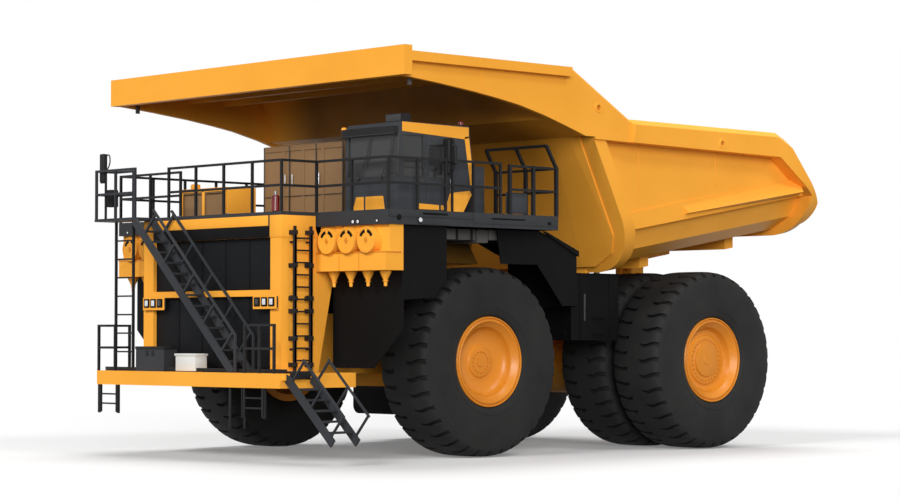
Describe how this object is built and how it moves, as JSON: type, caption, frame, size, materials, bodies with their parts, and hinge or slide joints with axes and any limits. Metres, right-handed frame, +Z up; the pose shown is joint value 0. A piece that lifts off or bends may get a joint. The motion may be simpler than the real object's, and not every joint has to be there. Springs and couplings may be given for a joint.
{
  "type": "rigid mining dump truck",
  "caption": "Ultra-class rigid dump truck with a tipping body over the cab, steered front wheels and twin rear wheels.",
  "frame": {"origin": "on the ground, under the middle of the truck's box", "axes": "+Z up, front towards -Y, the truck's left (cab) side towards +X"},
  "size_m": [10, 15.22, 8.42],
  "materials": {
    "yellow_paint": "satin enamel",
    "rim_paint": "satin enamel",
    "grey_paint": "satin enamel",
    "black_paint": "matt",
    "tyre_rubber": "matt",
    "steel": "machined",
    "chrome": "polished",
    "window_glass": "tinted",
    "cab_trim": "matt"
  },
  "bodies": {
    "chassis": {"main_frame": "yellow_paint", "bumper_platform": "yellow_paint", "front_axle_beam": "yellow_paint", "rear_axle_housing": "yellow_paint", "suspension_struts": "steel", "engine_block": "black_paint", "radiator_frame": "yellow_paint", "radiator_screens": "black_paint", "deck": "grey_paint", "deck_supports": "yellow_paint", "mudguards": "black_paint", "air_filters": "yellow_paint", "side_tanks": "black_paint", "handrails": "grey_paint", "front_stairway": "grey_paint", "ladders": "grey_paint", "platform_fittings": "grey_paint", "cab_shell": "grey_paint", "cab_glass": "window_glass", "cab_interior": "cab_trim", "mirrors_beacons": "grey_paint", "deck_boxes": "yellow_paint"},
    "knuckle_left": {"knuckle_left": "steel"},
    "knuckle_right": {"knuckle_right": "steel"},
    "tie_rod": {"tie_rod": "steel"},
    "wheel_front_left": {"rim_front_left": "rim_paint", "tyre_front_left": "tyre_rubber"},
    "wheel_front_right": {"rim_front_right": "rim_paint", "tyre_front_right": "tyre_rubber"},
    "wheels_rear_left": {"rims_rear_left": "rim_paint", "tyres_rear_left": "tyre_rubber"},
    "wheels_rear_right": {"rims_rear_right": "rim_paint", "tyres_rear_right": "tyre_rubber"},
    "dump_body": {"body_floor": "yellow_paint", "body_sides": "yellow_paint", "body_front_wall": "yellow_paint", "body_hoops": "yellow_paint", "body_canopy": "yellow_paint", "body_bolsters": "yellow_paint"},
    "hoist_barrel_left": {"hoist_barrel_left": "steel"},
    "hoist_barrel_right": {"hoist_barrel_right": "steel"},
    "hoist_rod_left": {"hoist_rod_left": "chrome"},
    "hoist_rod_right": {"hoist_rod_right": "chrome"},
    "cab_door": {"cab_door": "grey_paint", "door_pane": "window_glass"},
    "boarding_stair": {"boarding_stair": "grey_paint"}
  },
  "joints": [
    {"name": "steer_left", "type": "hinge", "parent": "chassis", "child": "knuckle_left", "pos_m": [2.15, -2.53, 2.02], "axis": [0, 0, 1], "range_deg": [-32, 32]},
    {"name": "steer_right", "type": "hinge", "parent": "chassis", "child": "knuckle_right", "pos_m": [-2.15, -2.53, 2.02], "axis": [0, 0, 1], "range_deg": [-32, 32]},
    {"name": "tie_rod_pivot", "type": "hinge", "parent": "knuckle_left", "child": "tie_rod", "pos_m": [2.15, -1.81, 1.585], "axis": [0, 0, 1], "range_deg": [-32, 32]},
    {"name": "wheel_front_left_spin", "type": "hinge", "parent": "knuckle_left", "child": "wheel_front_left", "pos_m": [3.325, -2.53, 2.02], "axis": [1, 0, 0], "continuous": true},
    {"name": "wheel_front_right_spin", "type": "hinge", "parent": "knuckle_right", "child": "wheel_front_right", "pos_m": [-3.325, -2.53, 2.02], "axis": [1, 0, 0], "continuous": true},
    {"name": "wheels_rear_left_spin", "type": "hinge", "parent": "chassis", "child": "wheels_rear_left", "pos_m": [3.925, 3.98, 2.02], "axis": [1, 0, 0], "continuous": true},
    {"name": "wheels_rear_right_spin", "type": "hinge", "parent": "chassis", "child": "wheels_rear_right", "pos_m": [-3.925, 3.98, 2.02], "axis": [1, 0, 0], "continuous": true},
    {"name": "body_tip", "type": "hinge", "parent": "chassis", "child": "dump_body", "pos_m": [0, 5.17, 4], "axis": [-1, 0, 0], "range_deg": [0, 45]},
    {"name": "hoist_foot_left", "type": "hinge", "parent": "chassis", "child": "hoist_barrel_left", "pos_m": [1.4, 1, 1.3], "axis": [-1, 0, 0], "range_deg": [-0.856, 0.1]},
    {"name": "hoist_slide_left", "type": "slide", "parent": "hoist_barrel_left", "child": "hoist_rod_left", "axis": [0, 0.4274, 0.9041], "range_m": [0, 2.1983]},
    {"name": "hoist_foot_right", "type": "hinge", "parent": "chassis", "child": "hoist_barrel_right", "pos_m": [-1.4, 1, 1.3], "axis": [-1, 0, 0], "range_deg": [-0.856, 0.1]},
    {"name": "hoist_slide_right", "type": "slide", "parent": "hoist_barrel_right", "child": "hoist_rod_right", "axis": [0, 0.4274, 0.9041], "range_m": [0, 2.1983]},
    {"name": "cab_door_hinge", "type": "hinge", "parent": "chassis", "child": "cab_door", "pos_m": [2.593, -3.57, 6], "axis": [0, 0, -1], "range_deg": [0, 85]},
    {"name": "boarding_stair_fold", "type": "hinge", "parent": "chassis", "child": "boarding_stair", "pos_m": [3.19, -7.155, 1.74], "axis": [0, -1, 0], "range_deg": [0, 100]}
  ],
  "couplings": [
    {"joint": "steer_right", "follows": "steer_left", "ratio": 1},
    {"joint": "tie_rod_pivot", "follows": "steer_left", "ratio": -1},
    {"joint": "hoist_foot_left", "follows": "body_tip", "ratio": -0.016805},
    {"joint": "hoist_slide_left", "follows": "body_tip", "m_per_rad": 2.7964},
    {"joint": "hoist_foot_right", "follows": "body_tip", "ratio": -0.016805},
    {"joint": "hoist_slide_right", "follows": "body_tip", "m_per_rad": 2.7964}
  ]
}
